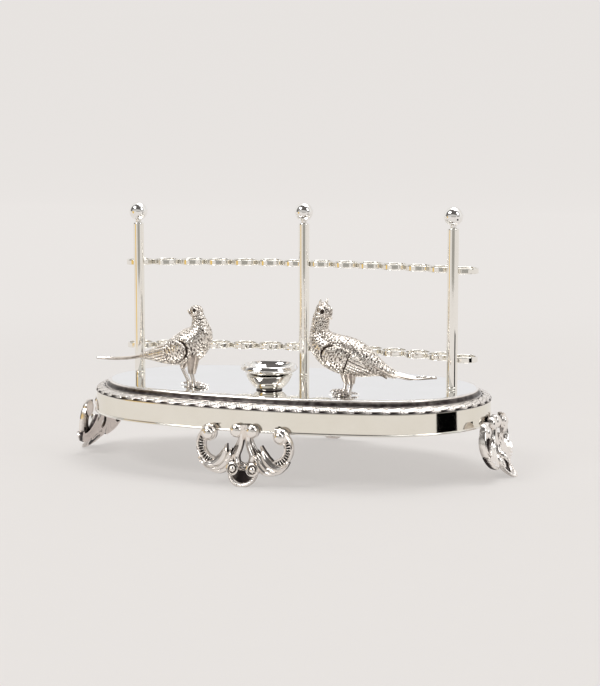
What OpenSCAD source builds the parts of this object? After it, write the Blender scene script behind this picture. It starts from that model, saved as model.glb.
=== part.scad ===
/* [Tray] */
// Length of the tray at the lower edge of its apron
tray_length = 192.6; // [180:0.2:210]
// Width of the tray at the lower edge of its apron
tray_width = 115; // [108:0.2:122]
// Radius of the tray's round ends at that edge
end_radius = 52; // [46:0.5:54]
// Height of the polished deck above the table
deck_height = 38; // [34:0.5:44]
// Thickness of the deck plate
deck_thickness = 1.4; // [1:0.1:2]
// Height of the plain apron band
band_height = 9.6; // [8:0.1:11]
// Thickness of the apron band
band_thickness = 1.2; // [0.8:0.1:1.6]
// Height of the leaf border
border_height = 2.4; // [1.8:0.1:3]
// Width of the leaf border
border_width = 5; // [4:0.1:6]
// Height of the cove moulding under the deck's edge
cove_height = 2.8; // [2:0.1:3.6]
// Width of the cove moulding
cove_width = 1.9; // [1.4:0.1:2.4]
// Diameter of the wire along the apron's lower edge
wire_diameter = 1; // [0.8:0.1:1.4]

/* [Posts] */
// Distance between the left and right posts
post_spacing = 156; // [150:0.5:160]
// Diameter of a post
post_diameter = 5.1; // [4.4:0.1:6]
// Height of the post's shoulder above the deck
post_height = 73.4; // [66:0.2:80]
// Diameter of the ball finials
ball_diameter = 8.8; // [7:0.1:10]
// Height of the finial's neck
neck_height = 1.3; // [1:0.1:2]
// Diameter of the finial's neck
neck_diameter = 3; // [2.6:0.1:3.6]
// Diameter of the threaded studs
stud_diameter = 3; // [2.5:0.1:3]

/* [Rings] */
// Rings in each row
ring_count = 14; // [14:2:14]
// Outer diameter of a ring
ring_diameter = 12.8; // [12:0.05:12.9]
// Wall of a ring
ring_wall = 0.9; // [0.7:0.05:1.2]
// Height of a ring
ring_height = 2.6; // [2:0.1:3]
// Gap between neighbouring rings, filled by the solder
ring_gap = 0.06; // [0.04:0.01:0.1]
// Radius of the arc that the ring centres lie on
row_radius = 208; // [200:1:230]
// How far the arc's middle lies behind the tray's long axis
row_apex = 25.6; // [24:0.1:27]
// Height of the upper row's middle above the deck
upper_row = 53.9; // [48:0.1:58]
// Height of the lower row's middle above the deck
lower_row = 13.3; // [11:0.1:18]

/* [Feet] */
// Width of a foot over its two scrolls
foot_width = 45.6; // [42:0.2:48]
// Height of a foot along its own face
foot_height = 27.6; // [26:0.1:29]
// Thickness of a foot's casting
foot_thickness = 2.7; // [2.4:0.1:3.6]
// How far the toes of the end feet stand outside the tray's edge
end_splay = 10.4; // [6:0.2:12]
// How far the toes of the front and back feet stand outside the tray's edge
side_splay = 3.6; // [2:0.2:6]

/* [Cup and dish] */
// How far the cup stands in front of the tray's long axis
cup_offset = 28; // [26:0.5:31]
// Radius of the cup's mouth
cup_mouth = 10.5; // [10.2:0.1:10.8]
// Radius of the cup's base
cup_base = 5.6; // [5.4:0.1:5.8]
// Height of the cup
cup_height = 7.2; // [7:0.1:7.4]
// Radius of the dish where it is widest
dish_radius = 13.1; // [12.8:0.1:13.4]
// Height of the dish's rim above the deck
dish_top = 11.8; // [11.6:0.1:12]

/* [Pheasants] */
// Distance of each bird's legs from the middle of the tray
bird_offset = 36.5; // [36:0.5:38]
// How far the birds stand in front of the tray's long axis
bird_front = 29; // [27:0.5:30]

/* [Hidden] */
ring_names = [for (i = [1 : ring_count]) str(i < 10 ? "0" : "", i)];
$fn = 96;

silver = "gainsboro";
polished = "whitesmoke";
antique = "darkgray";
shadow = "dimgray";

// The tray's outline is a four-centre oval: two end arcs and two side arcs that meet tangentially.
end_x = tray_length / 2 - end_radius;
side_radius = (pow(end_x, 2) + pow(tray_width / 2, 2) - pow(end_radius, 2)) / (tray_width - 2 * end_radius);
side_y = side_radius - tray_width / 2;
end_angle = atan2(side_y, end_x);
side_angle = 90 - end_angle;
arc_fn = 240;

// Offsets of the mouldings from the tray's outline, and their heights above the table
flare = 0.4;
band_out = -0.7;
border_out = -0.5;
border_in = border_out - border_width;
deck_out = border_in - cove_width;
deck_bottom = deck_height - deck_thickness;
border_top = deck_height - cove_height;
band_top = border_top - border_height;
band_bottom = band_top - band_height;

post_x = post_spacing / 2;
post_r = post_diameter / 2;
stud_r = stud_diameter / 2;
hole_r = stud_r + 0.12;
ring_r = ring_diameter / 2;
bore_r = ring_r - ring_wall;
pitch = ring_diameter + ring_gap;
ring_step = 2 * asin(pitch / 2 / row_radius);
touch = ring_r + post_r + 0.03;
function ring_angle(i) = (i - (ring_count - 1) / 2) * ring_step;
function ring_xy(i) = [row_radius * sin(ring_angle(i)), row_apex - row_radius * (1 - cos(ring_angle(i)))];
end_ring = ring_xy(ring_count - 1);
post_y = end_ring[1] - sqrt(pow(touch, 2) - pow(end_ring[0] - post_x, 2));
middle_ring = ring_xy(ring_count / 2);
middle_y = middle_ring[1] - sqrt(pow(touch, 2) - pow(middle_ring[0], 2));
left_post = [-post_x, post_y];
middle_post = [0, middle_y];
right_post = [post_x, post_y];
posts = [left_post, middle_post, right_post];

nut_across = 5.5;
nut_height = 2;
washer_r = 3.4;
washer_height = 0.6;
stud_length = deck_thickness + washer_height + nut_height + 0.6;

bird_feet = [[-bird_offset - 4, -bird_front + 2.6], [-bird_offset + 1.6, -bird_front - 2.6],
             [bird_offset - 1, -bird_front - 3], [bird_offset + 3.2, -bird_front + 3]];
bird_stud_r = 0.9;
bird_nut_r = 2;
bird_nut_height = 1.4;
bird_stud_length = deck_thickness + bird_nut_height + 0.4;
cup_xy = [0, -cup_offset];
cup_wall = 0.8;
cup_floor = 1.2;

// Sweeps a profile round the oval. The profile's x is the offset from the outline and its y the height.
module sweep_oval() {
    for (s = [0, 180])
        rotate([0, 0, s]) {
            translate([end_x, 0, 0])
                rotate([0, 0, -end_angle])
                    rotate_extrude(angle = 2 * end_angle, $fn = arc_fn)
                        translate([end_radius, 0])
                            children();
            translate([0, -side_y, 0])
                rotate([0, 0, 90 - side_angle])
                    rotate_extrude(angle = 2 * side_angle, $fn = arc_fn * 4)
                        translate([side_radius, 0])
                            children();
        }
}

// The oval's area, grown by an offset
module oval(grow) {
    join_x = end_x + (end_radius + grow) * cos(end_angle);
    for (s = [-1, 1])
        translate([s * end_x, 0])
            circle(r = end_radius + grow, $fn = arc_fn);
    intersection() {
        square([2 * join_x, 2 * tray_width], center = true);
        translate([0, side_y])
            circle(r = side_radius + grow, $fn = arc_fn * 4);
        translate([0, -side_y])
            circle(r = side_radius + grow, $fn = arc_fn * 4);
    }
}

module at_posts() {
    for (p = posts)
        translate(p)
            children();
}

module deck_plate() {
    color(polished)
        difference() {
            translate([0, 0, deck_bottom])
                linear_extrude(deck_thickness)
                    oval(deck_out);
            translate([0, 0, deck_bottom - 1]) {
                at_posts()
                    cylinder(r = hole_r, h = deck_thickness + 2);
                for (p = bird_feet)
                    translate(p)
                        cylinder(r = bird_stud_r + 0.1, h = deck_thickness + 2);
                translate(cup_xy)
                    cylinder(r = hole_r, h = deck_thickness + 2);
            }
        }
}

// A concave strip that falls from the deck's edge to the leaf border
module cove_moulding() {
    bend = cove_width * 0.8;
    color(shadow)
        sweep_oval()
            difference() {
                polygon([[deck_out, deck_height], [deck_out + 0.5, deck_height], [border_in, border_top],
                         [border_in, border_top - 1], [deck_out, border_top - 1]]);
                translate([border_in + 0.25, deck_height - 0.2])
                    circle(r = bend, $fn = 40);
            }
}

// The strip that carries the leaf pattern: its layers step in towards the top
border_steps = [[0, 0], [0.45, 0.5], [0.75, 1.6]];
module leaf_border() {
    color(antique)
        for (s = border_steps)
            translate([0, 0, band_top + s[0] * border_height])
                linear_extrude(border_height * (1 - s[0]))
                    difference() {
                        oval(border_out - s[1]);
                        oval(border_in);
                    }
}

// The plain band under the border, which flares a little towards its lower edge
module apron_band() {
    color(silver)
        sweep_oval()
            polygon([[band_out - flare, band_top], [band_out, band_bottom + wire_diameter],
                     [band_out - band_thickness, band_bottom + wire_diameter],
                     [band_out - flare - band_thickness, band_top]]);
}

module edge_wire() {
    color(polished)
        sweep_oval()
            polygon([[band_out - band_thickness, band_bottom + wire_diameter],
                      [-0.4, band_bottom + wire_diameter],
                     [0, band_bottom + wire_diameter * 0.7], [0, band_bottom + wire_diameter * 0.3],
                     [-0.3, band_bottom], [band_out - band_thickness, band_bottom]]);
}

// One scroll of a foot: a ring that is open towards the stem, with a boss at its upper end
scroll_r = 9.4;
scroll_band = 4.2;
scroll_x = foot_width / 2 - scroll_r;
scroll_z = foot_height - scroll_r - 0.6;
scroll_boss = 3.2;
stem_width = 3;
toe_r = 6.6;
volute_r = 2.6;
tab_depth = 5;
foot_bend = 21;
tab_height = 1.4;

module scroll_outline() {
    difference() {
        translate([scroll_x, scroll_z])
            circle(r = scroll_r);
        translate([scroll_x, scroll_z])
            circle(r = scroll_r - scroll_band);
        translate([scroll_x - scroll_r - 1, scroll_z + 1])
            square([scroll_r + 1, scroll_r]);
    }
}

module stem_outline() {
    difference() {
        polygon([[-stem_width - 0.8, foot_height - 0.6], [stem_width + 0.8, foot_height - 0.6],
                 [stem_width + 0.2, 18], [7.6, 13.4], [6.6, 8.2], [-6.6, 8.2], [-7.6, 13.4], [-stem_width - 0.2, 18]]);
        polygon([[0, 16.4], [2.4, 13.4], [0, 10.6], [-2.4, 13.4]]);
    }
}

module toe_outline() {
    difference() {
        translate([0, toe_r])
            circle(r = toe_r);
        translate([0, toe_r + 0.2])
            circle(r = toe_r - 2.6);
        translate([-toe_r - 1, toe_r + 1.2])
            square([2 * toe_r + 2, toe_r]);
    }
}

module foot_outline() {
    scroll_outline();
    mirror([1, 0])
        scroll_outline();
    stem_outline();
    toe_outline();
    for (s = [-1, 1])
        translate([s * 4.7, 7.8])
            circle(r = volute_r);
}

// The foot's side view: upright above the bend and curving outwards, towards -X, below it
module foot_profile(splay) {
    bend_r = (pow(foot_bend, 2) + pow(splay, 2)) / (2 * splay);
    translate([-foot_thickness, foot_bend])
        square([foot_thickness, foot_height - foot_bend]);
    intersection() {
        difference() {
            translate([-bend_r, foot_bend])
                circle(r = bend_r, $fn = 180);
            translate([-bend_r, foot_bend])
                circle(r = bend_r - foot_thickness, $fn = 180);
        }
        translate([-splay - foot_thickness - 2, -1])
            square([splay + foot_thickness + 2, foot_bend + 1]);
    }
}

// A cast scroll foot in the XZ plane, with its back against Y = 0 at the top and its toe curving towards -Y
module scroll_foot(splay) {
    reach = splay + foot_thickness + 4;
    intersection() {
        translate([0, 0.5, 0])
            rotate([90, 0, 0])
                linear_extrude(reach)
                    foot_outline();
        translate([-foot_width, 0, 0])
            rotate([90, 0, 90])
                linear_extrude(2 * foot_width)
                    foot_profile(splay);
    }
    for (s = [-1, 1]) {
        translate([s * (scroll_x + 4.6), -1, foot_height - 5])
            rotate([90, 0, 0])
                cylinder(r = scroll_boss, h = foot_thickness, $fn = 48);
        translate([s * 3.7, -1, foot_height - 3])
            rotate([90, 0, 0])
                cylinder(r = 2.5, h = foot_thickness - 0.4, $fn = 48);
    }
}

// Stands a foot against the lower edge of the tray, with its toe cut flat by the table.
// A tab behind the stem lies flat against the edge wire.
module placed_foot(angle, reach, splay) {
    sink = 0.5;
    color(silver)
        rotate([0, 0, angle]) {
            difference() {
                translate([0, -reach - 0.15, -sink])
                    scroll_foot(splay);
                translate([-foot_width, -reach - 40, -10])
                    cube([2 * foot_width, 60, 10]);
            }
            translate([-stem_width, -reach - 1.2, band_bottom - tab_height])
                cube([2 * stem_width, tab_depth, tab_height]);
        }
}

module foot_front() { placed_foot(0, tray_width / 2, side_splay); }
module foot_back() { placed_foot(180, tray_width / 2, side_splay); }
module foot_left() { placed_foot(-90, tray_length / 2, end_splay); }
module foot_right() { placed_foot(90, tray_length / 2, end_splay); }

// A round post with a stud below for its nut and a bore above for its finial
bore_depth = 6;
module post(p) {
    color(silver)
        translate([p[0], p[1], deck_height]) {
            difference() {
                cylinder(r = post_r, h = post_height);
                translate([0, 0, post_height - bore_depth])
                    cylinder(r = stud_r * 0.8 + 0.1, h = bore_depth + 1);
            }
            translate([0, 0, -stud_length])
                cylinder(r = stud_r, h = stud_length + 0.5);
        }
}

module finial(p) {
    color(polished)
        translate([p[0], p[1], deck_height + post_height]) {
            translate([0, 0, neck_height + ball_diameter / 2 - 0.25])
                sphere(d = ball_diameter);
            cylinder(d = neck_diameter, h = neck_height + 0.6);
            translate([0, 0, 0.5 - bore_depth])
                cylinder(r = stud_r * 0.8, h = bore_depth);
        }
}

module post_left() { post(left_post); }
module post_middle() { post(middle_post); }
module post_right() { post(right_post); }
module finial_left() { finial(left_post); }
module finial_middle() { finial(middle_post); }
module finial_right() { finial(right_post); }

module post_washers() {
    color("goldenrod")
        at_posts()
            translate([0, 0, deck_bottom - washer_height])
                difference() {
                    cylinder(r = washer_r, h = washer_height);
                    translate([0, 0, -1])
                        cylinder(r = hole_r, h = washer_height + 2);
                }
}

module post_nuts() {
    color("goldenrod")
        at_posts()
            translate([0, 0, deck_bottom - washer_height - nut_height])
                difference() {
                    cylinder(d = nut_across / cos(30), h = nut_height, $fn = 6);
                    translate([0, 0, -1])
                        cylinder(r = stud_r + 0.05, h = nut_height + 2);
                }
}

module ring(i, row) {
    p = ring_xy(i);
    color(silver)
        translate([p[0], p[1], deck_height + row - ring_height / 2])
            difference() {
                cylinder(r = ring_r, h = ring_height);
                translate([0, 0, -1])
                    cylinder(r = bore_r, h = ring_height + 2);
            }
}

// Beads of solder in the notches between neighbouring rings, and between the rings and the posts
solder_height = ring_height * 0.7;
solder_reach = 1.4;
function notch(p, angle, half, side) = [for (q = [[-half, solder_reach], [half, solder_reach], [0, 0.2]])
    p + [q[0] * cos(angle) + side * q[1] * sin(angle), side * q[1] * cos(angle) - q[0] * sin(angle)]];
function swell(r) = r - sqrt(pow(r, 2) - pow(solder_reach, 2));
function post_contact(i, p) = (ring_xy(i) * post_r + p * ring_r) / (post_r + ring_r);
function post_angle(i, p) = -atan2(ring_xy(i)[1] - p[1], ring_xy(i)[0] - p[0]);

module ring_solder() {
    between = swell(ring_r) + ring_gap / 2 - 0.01;
    beside_post = swell(ring_r);
    color(polished)
        for (row = [upper_row, lower_row], side = [-1, 1])
            translate([0, 0, deck_height + row - solder_height / 2])
                linear_extrude(solder_height) {
                    for (i = [0 : ring_count - 2])
                        if (side > 0 || i != ring_count / 2 - 1)
                            polygon(notch((ring_xy(i) + ring_xy(i + 1)) / 2, ring_angle(i + 0.5), between, side));
                    for (j = [[0, left_post], [ring_count - 1, right_post]])
                        polygon(notch(post_contact(j[0], j[1]), post_angle(j[0], j[1]), beside_post, side));
                    for (j = [[ring_count / 2 - 1, -1], [ring_count / 2, 1]])
                        if (side == j[1])
                            polygon(notch(post_contact(j[0], middle_post), post_angle(j[0], middle_post),
                                          beside_post, -1));
                }
}

// The fixed cup that the dish sits in
module cup() {
    color(silver)
        translate([cup_xy[0], cup_xy[1], deck_height])
            difference() {
                rotate_extrude()
                    polygon([[0, 0], [cup_base, 0], [cup_base, 0.6], [cup_base + 1.2, 1.2], [cup_base + 3.2, 3.6],
                             [cup_mouth, cup_height - 0.4], [cup_mouth, cup_height],
                             [cup_mouth - cup_wall, cup_height], [cup_base + 3.1 - cup_wall, 4.1],
                             [cup_base + 0.7 - cup_wall, 1.8], [cup_base - 1, cup_floor], [0, cup_floor]]);
                translate([0, 0, -1])
                    cylinder(r = stud_r + 0.05, h = cup_floor + 2);
            }
}

// The screw that holds the cup from inside, with its nut under the deck
module cup_screw() {
    color("goldenrod")
        translate([cup_xy[0], cup_xy[1], deck_height]) {
            translate([0, 0, -stud_length])
                cylinder(r = stud_r, h = stud_length + cup_floor);
            translate([0, 0, cup_floor])
                cylinder(r = 2.6, h = 0.8);
            translate([0, 0, -deck_thickness - nut_height])
                cylinder(d = nut_across / cos(30), h = nut_height, $fn = 6);
        }
}

// The loose dish: a deep bowl with a wide lip, standing on the cup's screw head
dish_foot = cup_floor + 0.85;
dish_wall = 0.8;
module dish() {
    color(polished)
        translate([cup_xy[0], cup_xy[1], deck_height])
            rotate_extrude()
                polygon([[0, dish_foot], [4, dish_foot], [5.4, dish_foot + 0.9], [7.2, 4.6], [9.2, cup_height],
                         [dish_radius - 0.2, dish_top - 2], [dish_radius, dish_top - 1.7],
                         [dish_radius - 0.9, dish_top], [dish_radius - 1.4, dish_top],
                         [dish_radius - 1.8, dish_top - 1.2], [8.8, cup_height + 0.9], [6.7, 5.2],
                         [4.9, dish_foot + 1.6], [3.6, dish_foot + dish_wall], [0, dish_foot + dish_wall]]);
}

// Skins a closed solid over elliptical stations: [x, z, direction, half-width, half-height]
sides = 20;
function station_ring(s) = [for (k = [0 : sides - 1])
    let (t = 360 * k / sides)
        [s[0] - s[4] * sin(t) * sin(s[2]), s[3] * cos(t), s[1] + s[4] * sin(t) * cos(s[2])]];

module skin(stations) {
    n = len(stations);
    points = [for (s = stations) for (p = station_ring(s)) p];
    walls = [for (j = [0 : n - 2]) for (k = [0 : sides - 1])
        let (a = j * sides + k, b = j * sides + (k + 1) % sides)
            for (f = [[b, a, b + sides], [b + sides, a, a + sides]]) f];
    first = [for (k = [0 : sides - 1]) k];
    last = [for (k = [sides - 1 : -1 : 0]) (n - 1) * sides + k];
    polyhedron(points = points, faces = concat([first], walls, [last]), convexity = 6);
}

// Both birds are drawn facing +X with their legs at the origin and the deck at z = 0.
hen_body = [[-50, 10.9, 0, 0.9, 0.4], [-40, 11.4, 2, 1.6, 0.7], [-30, 12.4, 4, 2.2, 1.1],
            [-22.5, 13.4, 8, 3.2, 2.1], [-18.3, 14, 12, 4.4, 3.4], [-9.8, 15.7, 16, 6.6, 6.1],
            [-5.2, 17.3, 20, 7.3, 7.2], [-1, 19.3, 26, 7.3, 7.7], [3, 21.4, 30, 5.6, 6], [6.4, 23, 34, 2.6, 3]];
hen_neck = [[1, 19.5, 74, 5.4, 5.6], [3.4, 25.6, 80, 4.8, 4.9], [2.9, 29.4, 90, 3.6, 3.7],
            [2.1, 32.6, 98, 2.8, 2.9]];
cock_body = [[-42.6, 9.4, -4, 0.8, 0.4], [-35, 9, 2, 1.4, 0.7], [-26, 9.6, 10, 2.2, 1.1],
             [-18.3, 11.4, 24, 4.2, 2.4], [-9, 14.9, 24, 6.8, 6.7], [-3.1, 16.7, 24, 7.8, 8.3],
             [2.4, 18.4, 28, 8.1, 8.3], [7.4, 20.6, 36, 7, 7.2], [11.8, 22.6, 42, 3.2, 3.6]];
cock_neck = [[7.4, 19.6, 64, 6.2, 6.4], [11.6, 26.4, 72, 4.6, 4.6], [11.6, 31.4, 82, 3.6, 3.8],
             [11, 35.6, 96, 3.2, 3.4]];

module bird_leg(top, knee, toe) {
    hull() {
        translate(top)
            sphere(r = 2.6, $fn = 20);
        translate(knee)
            sphere(r = 1.1, $fn = 20);
    }
    hull() {
        translate(knee)
            sphere(r = 1, $fn = 20);
        translate([toe[0], toe[1], 1.3])
            sphere(r = 1.1, $fn = 20);
    }
    hull() {
        translate([toe[0] - 3.2, toe[1], 0])
            cylinder(r = 1.1, h = 1.2, $fn = 20);
        translate([toe[0] + 5, toe[1], 0])
            cylinder(r = 2.3, h = 1.1, $fn = 20);
    }
}

module bird_head(centre, tip) {
    hull() {
        translate(centre)
            sphere(r = 3.3, $fn = 28);
        translate((centre * 2 + tip) / 3)
            sphere(r = 2.5, $fn = 20);
    }
    hull() {
        translate((centre + tip) / 2)
            sphere(r = 1.7, $fn = 16);
        translate(tip)
            sphere(r = 0.5, $fn = 16);
    }
}

module hen_pheasant() {
    color("silver")
        translate([-bird_offset, -bird_front, deck_height]) {
            skin(hen_body);
            skin(hen_neck);
            bird_head([1.4, 0, 34.2], [-3, -1.6, 34.8]);
            bird_leg([-5, 2.6, 12], [-6.4, 2.6, 7.2], [-4, 2.6]);
            bird_leg([0, -2.6, 13], [-0.4, -2.6, 7.2], [1.6, -2.6]);
        }
}

module cock_pheasant() {
    color("silver")
        translate([bird_offset, -bird_front, deck_height])
            rotate([0, 0, 180]) {
                skin(cock_body);
                skin(cock_neck);
                bird_head([10.4, 0, 37.6], [6.4, 1, 33.6]);
                bird_leg([-3, -3, 10.6], [-3.6, -3, 5.2], [-3.2, -3]);
                bird_leg([0.4, 3, 11], [0.2, 3, 5.2], [1, 3]);
            }
}

module bird_studs() {
    color("goldenrod")
        for (p = bird_feet)
            translate([p[0], p[1], deck_height - bird_stud_length])
                cylinder(r = bird_stud_r, h = bird_stud_length, $fn = 32);
}

module bird_nuts() {
    color("goldenrod")
        for (p = bird_feet)
            translate([p[0], p[1], deck_bottom - bird_nut_height])
                difference() {
                    cylinder(r = bird_nut_r, h = bird_nut_height, $fn = 6);
                    translate([0, 0, -1])
                        cylinder(r = bird_stud_r + 0.05, h = bird_nut_height + 2, $fn = 32);
                }
}

deck_plate();
cove_moulding();
leaf_border();
apron_band();
edge_wire();
foot_front();
foot_back();
foot_left();
foot_right();
post_left();
post_middle();
post_right();
finial_left();
finial_middle();
finial_right();
post_washers();
post_nuts();
for (i = [0 : ring_count - 1])
    ring(i, upper_row);
for (i = [0 : ring_count - 1])
    ring(i, lower_row);
ring_solder();
cup();
cup_screw();
dish();
hen_pheasant();
cock_pheasant();
bird_studs();
bird_nuts();
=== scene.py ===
"""Looks for a footed oval tray with a ring rack, two pheasants and a dish, in silver plate."""

import random
from math import atan2, cos, exp, floor, hypot, pi, radians, sin, sqrt

import bpy
from mathutils import Matrix, Vector, noise


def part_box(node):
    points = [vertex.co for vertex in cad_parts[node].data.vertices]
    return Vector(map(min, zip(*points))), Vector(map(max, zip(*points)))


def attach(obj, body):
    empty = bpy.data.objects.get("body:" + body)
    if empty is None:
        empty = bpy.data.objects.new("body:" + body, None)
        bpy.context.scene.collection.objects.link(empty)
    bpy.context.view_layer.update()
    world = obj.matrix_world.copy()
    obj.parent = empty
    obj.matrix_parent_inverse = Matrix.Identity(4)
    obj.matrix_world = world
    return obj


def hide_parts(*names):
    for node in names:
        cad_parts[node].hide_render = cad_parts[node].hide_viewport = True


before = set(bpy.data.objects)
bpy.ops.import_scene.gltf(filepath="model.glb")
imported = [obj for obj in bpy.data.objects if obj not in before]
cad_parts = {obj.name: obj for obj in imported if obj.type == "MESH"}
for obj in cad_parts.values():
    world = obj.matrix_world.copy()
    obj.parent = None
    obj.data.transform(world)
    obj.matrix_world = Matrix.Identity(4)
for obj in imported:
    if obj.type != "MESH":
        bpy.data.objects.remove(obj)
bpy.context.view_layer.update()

# Lengths below are in millimetres and meshes are scaled by MM when they are made.
MM = 0.001
TAU = 2 * pi


def turns(count):
    """Evenly spaced angles of one full turn."""
    return [TAU * k / count for k in range(count)]


def box_mm(node):
    """Lowest corner, highest corner and centre of a CAD node, in millimetres."""
    low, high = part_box(node)
    return low / MM, high / MM, (low + high) / 2 / MM


# ---------------------------------------------------------------- materials


def new_material(name):
    """A material, its Principled shader and a function that makes its nodes."""
    mat = bpy.data.materials.new(name)
    mat.use_nodes = True
    tree = mat.node_tree

    def node(kind, **settings):
        made = tree.nodes.new(kind)
        for key, value in settings.items():
            setattr(made, key, value)
        return made

    return mat, tree.nodes["Principled BSDF"], node


def set_inputs(node, **values):
    """Sets a node's inputs by name, with underscores for the spaces."""
    for key, value in values.items():
        node.inputs[key.replace("_", " ")].default_value = value


def join(output, node, socket):
    """Links an output to a node's input."""
    node.id_data.links.new(output, node.inputs[socket])


def ramp(node, stops):
    """Sets a colour ramp's stops from (position, colour) pairs."""
    elements = node.color_ramp.elements
    while len(elements) > 1:
        elements.remove(elements[0])
    elements[0].position, elements[0].color = stops[0][0], (*stops[0][1], 1)
    for position, colour in stops[1:]:
        elements.new(position).color = (*colour, 1)
    return node


def map_range(node, value, low, high, start=0.0, end=1.0, **settings):
    """An output that runs from low to high as value runs from start to end."""
    made = node("ShaderNodeMapRange", **settings)
    set_inputs(made, From_Min=start, From_Max=end, To_Min=low, To_Max=high)
    join(value, made, "Value")
    return made.outputs["Result"]


def noise_node(node, coords, scale, detail=4.0, rough=0.55, stretch=None):
    """A noise output in object space. stretch scales the space first, which draws the grain out."""
    made = node("ShaderNodeTexNoise")
    set_inputs(made, Scale=scale, Detail=detail, Roughness=rough)
    source = coords.outputs["Object"]
    if stretch:
        mapping = node("ShaderNodeMapping")
        set_inputs(mapping, Scale=stretch)
        join(source, mapping, "Vector")
        source = mapping.outputs["Vector"]
    join(source, made, "Vector")
    return made.outputs["Fac"]


def add_bump(node, shader, height, strength, distance):
    """Bumps the shader's normal by a height output."""
    bump = node("ShaderNodeBump")
    set_inputs(bump, Strength=strength, Distance=distance)
    join(height, bump, "Height")
    join(bump.outputs["Normal"], shader, "Normal")


def polished_silver(name, light, dull, roughness, stretch, bump=0.02):
    """Hand-polished plate: cloudy colour, patchy gloss and hairline polishing marks."""
    mat, shader, node = new_material(name)
    coords = node("ShaderNodeTexCoord")
    tone = ramp(node("ShaderNodeValToRGB"), [(0.3, dull), (0.62, light)])
    join(noise_node(node, coords, 45, 5), tone, "Fac")
    join(tone.outputs["Color"], shader, "Base Color")
    marks = noise_node(node, coords, 900, 3, 0.6, stretch)
    join(map_range(node, marks, *roughness), shader, "Roughness")
    add_bump(node, shader, marks, bump, 0.00005)
    set_inputs(shader, Metallic=1)
    return mat


def darkened_silver(name, high, middle, low, roughness, grain=1500, bump=0.35, metallic=1):
    """Cast plate with black patina left in its hollows, read from the mesh's relief, which says how high each
    point stands. Pieces that set a low relief where shade falls get painted shade from the same dark tone.
    """
    mat, shader, node = new_material(name)
    coords = node("ShaderNodeTexCoord")
    relief = node("ShaderNodeAttribute", attribute_name="relief")
    cloud = noise_node(node, coords, 420, 4)
    wear_and_shade = node("ShaderNodeMath", operation="ADD", use_clamp=True)
    join(relief.outputs["Fac"], wear_and_shade, 0)
    join(map_range(node, cloud, -0.16, 0.16), wear_and_shade, 1)
    # low values give the dark tone: patina in the hollows, and painted shade where a piece marks a shadowed
    # place
    tone = ramp(node("ShaderNodeValToRGB"), [(0.12, low), (0.42, middle), (0.68, high)])
    join(wear_and_shade.outputs["Value"], tone, "Fac")
    join(tone.outputs["Color"], shader, "Base Color")
    gloss = map_range(node, wear_and_shade.outputs["Value"], roughness[1], roughness[0])
    join(gloss, shader, "Roughness")
    add_bump(node, shader, noise_node(node, coords, grain, 3), bump, 0.00008)
    set_inputs(shader, Metallic=metallic)
    return mat


PLATE = polished_silver("polished_plate", (0.94, 0.92, 0.875), (0.9, 0.875, 0.82), (0.035, 0.1), (1, 5, 5))
MIRROR = polished_silver("mirror_plate", (0.95, 0.94, 0.92), (0.92, 0.905, 0.88), (0.02, 0.06), (1, 6, 1),
                         0.01)
BAND = polished_silver("polished_band", (0.9, 0.87, 0.79), (0.86, 0.825, 0.735), (0.035, 0.1), (1, 5, 5))
CAST = darkened_silver("darkened_cast_plate", (0.94, 0.9, 0.86), (0.4, 0.365, 0.34), (0.035, 0.028, 0.028),
                       (0.14, 0.42))
# pale colours for the feet's inward backs: painted reflection
CAST_BACK = darkened_silver("foot_back_painted_reflection", (0.93, 0.86, 0.82), (0.88, 0.81, 0.77),
                            (0.82, 0.74, 0.7), (0.4, 0.6), metallic=0.3)
FEATHER = darkened_silver("darkened_feather_plate", (0.93, 0.875, 0.81), (0.48, 0.42, 0.37),
                          (0.045, 0.033, 0.028), (0.18, 0.42), 2600, 0.5)
BRASS = polished_silver("turned_brass", (0.78, 0.6, 0.3), (0.62, 0.45, 0.2), (0.22, 0.4), (1, 1, 8), 0.3)

# ---------------------------------------------------------------- mesh helpers


def new_object(name, data):
    """Puts a mesh, light or camera into the scene."""
    obj = bpy.data.objects.new(name, data)
    bpy.context.scene.collection.objects.link(obj)
    return obj


def heading(path, i):
    """The direction of a path at its point number i."""
    return (path[min(i + 1, len(path) - 1)] - path[max(i - 1, 0)]).normalized()


def width_at(widths, share):
    """The width at a share, from 0 to 1, of the way through evenly spaced widths."""
    t = share * (len(widths) - 1)
    k = min(int(t), len(widths) - 2)
    return widths[k] + (widths[k + 1] - widths[k]) * (t - k)


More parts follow.
